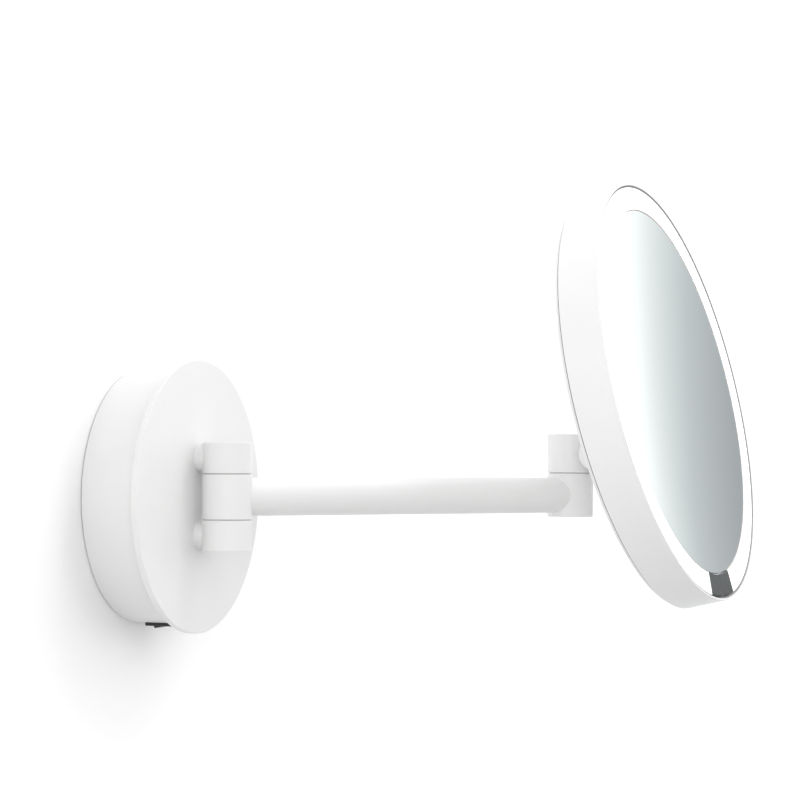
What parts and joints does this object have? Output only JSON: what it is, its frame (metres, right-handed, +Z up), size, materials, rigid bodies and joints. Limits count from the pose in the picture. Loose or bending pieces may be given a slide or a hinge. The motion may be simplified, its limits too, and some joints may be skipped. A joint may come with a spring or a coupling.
{
  "type": "extendable shaving mirror",
  "caption": "Round lighted magnifying mirror on a tubular swing arm, with swivel and tilt hinges and a round wall base with a rocker switch.",
  "frame": {"origin": "centre of the wall bracket's back face, on the wall", "axes": "+Y into the wall, -Y into the room, +Z up, +X along the wall to the right as seen from the room"},
  "size_m": [0.3529, 0.2323, 0.2217],
  "materials": {
    "white_paint": "matt white powder coat",
    "white_plastic": "matt white moulded plastic",
    "opal": "opal light diffuser",
    "mirror_glass": "silvered magnifying glass",
    "touch_window": "dark grey touch window",
    "black_plastic": "black moulded plastic",
    "washer_plastic": "grey acetal",
    "zinc_steel": "zinc-plated sheet and fasteners",
    "pin_steel": "turned steel",
    "aluminium": "aluminium board",
    "board": "circuit board",
    "led": "LED chip",
    "driver_case": "driver case",
    "cable_jacket": "cable sheath",
    "gasket": "rubber",
    "foam": "foam pad"
  },
  "bodies": {
    "base": {"wall_bracket": "zinc_steel", "housing_brackets": "zinc_steel", "inlet_grommet": "gasket", "base_drum": "white_paint", "housing_screws": "zinc_steel", "front_plate": "white_paint", "plate_screws": "zinc_steel", "led_driver": "driver_case", "driver_screws": "zinc_steel", "terminal_block": "white_plastic", "switch_housing": "black_plastic", "mains_leads": "cable_jacket", "lead_base": "cable_jacket", "upper_lug": "white_paint", "lower_lug": "white_paint", "lug_screws": "zinc_steel", "lug_dowel": "pin_steel"},
    "rocker": {"switch_rocker": "black_plastic"},
    "arm": {"hinge_pin": "pin_steel", "hinge_washers": "washer_plastic", "inner_knuckle": "white_paint", "arm_tube": "white_paint", "outer_knuckle": "white_paint", "knuckle_cap": "white_plastic", "tube_grub_screws": "zinc_steel", "lead_arm": "cable_jacket"},
    "swivel": {"swivel_pin": "pin_steel", "swivel_nut": "zinc_steel", "swivel_spring_washer": "pin_steel", "swivel_washer": "washer_plastic", "swivel_knuckle": "white_paint", "lead_swivel": "cable_jacket", "tilt_washers": "washer_plastic"},
    "head": {"tilt_yoke": "white_paint", "yoke_screws": "zinc_steel", "tilt_screw": "zinc_steel", "head_rim": "white_plastic", "diffuser_ring": "opal", "sensor_window": "touch_window", "mirror_glass": "mirror_glass", "mirror_pad": "foam", "led_carrier": "white_plastic", "cover_screws": "zinc_steel", "back_cover": "white_plastic", "cover_seal": "gasket", "yoke_backing_plate": "zinc_steel", "led_board": "aluminium", "led_chips": "led", "sensor_board": "board", "control_board": "board", "lead_head": "cable_jacket", "lead_ring": "cable_jacket"}
  },
  "joints": [
    {"name": "switch_rock", "type": "hinge", "parent": "base", "child": "rocker", "pos_m": [0, -0.016, -0.057], "axis": [1, 0, 0], "range_deg": [0, 12]},
    {"name": "arm_swing", "type": "hinge", "parent": "base", "child": "arm", "pos_m": [0, -0.0445, 0], "axis": [0, 0, 1], "range_deg": [-149.7, 30.2]},
    {"name": "head_swivel", "type": "hinge", "parent": "arm", "child": "swivel", "pos_m": [0.18144, -0.15023, 0], "axis": [0, 0, 1], "range_deg": [-30, 150]},
    {"name": "head_tilt", "type": "hinge", "parent": "swivel", "child": "head", "pos_m": [0.18144, -0.16683, 0.021], "axis": [-1, 0, 0], "range_deg": [-43, 32]}
  ]
}
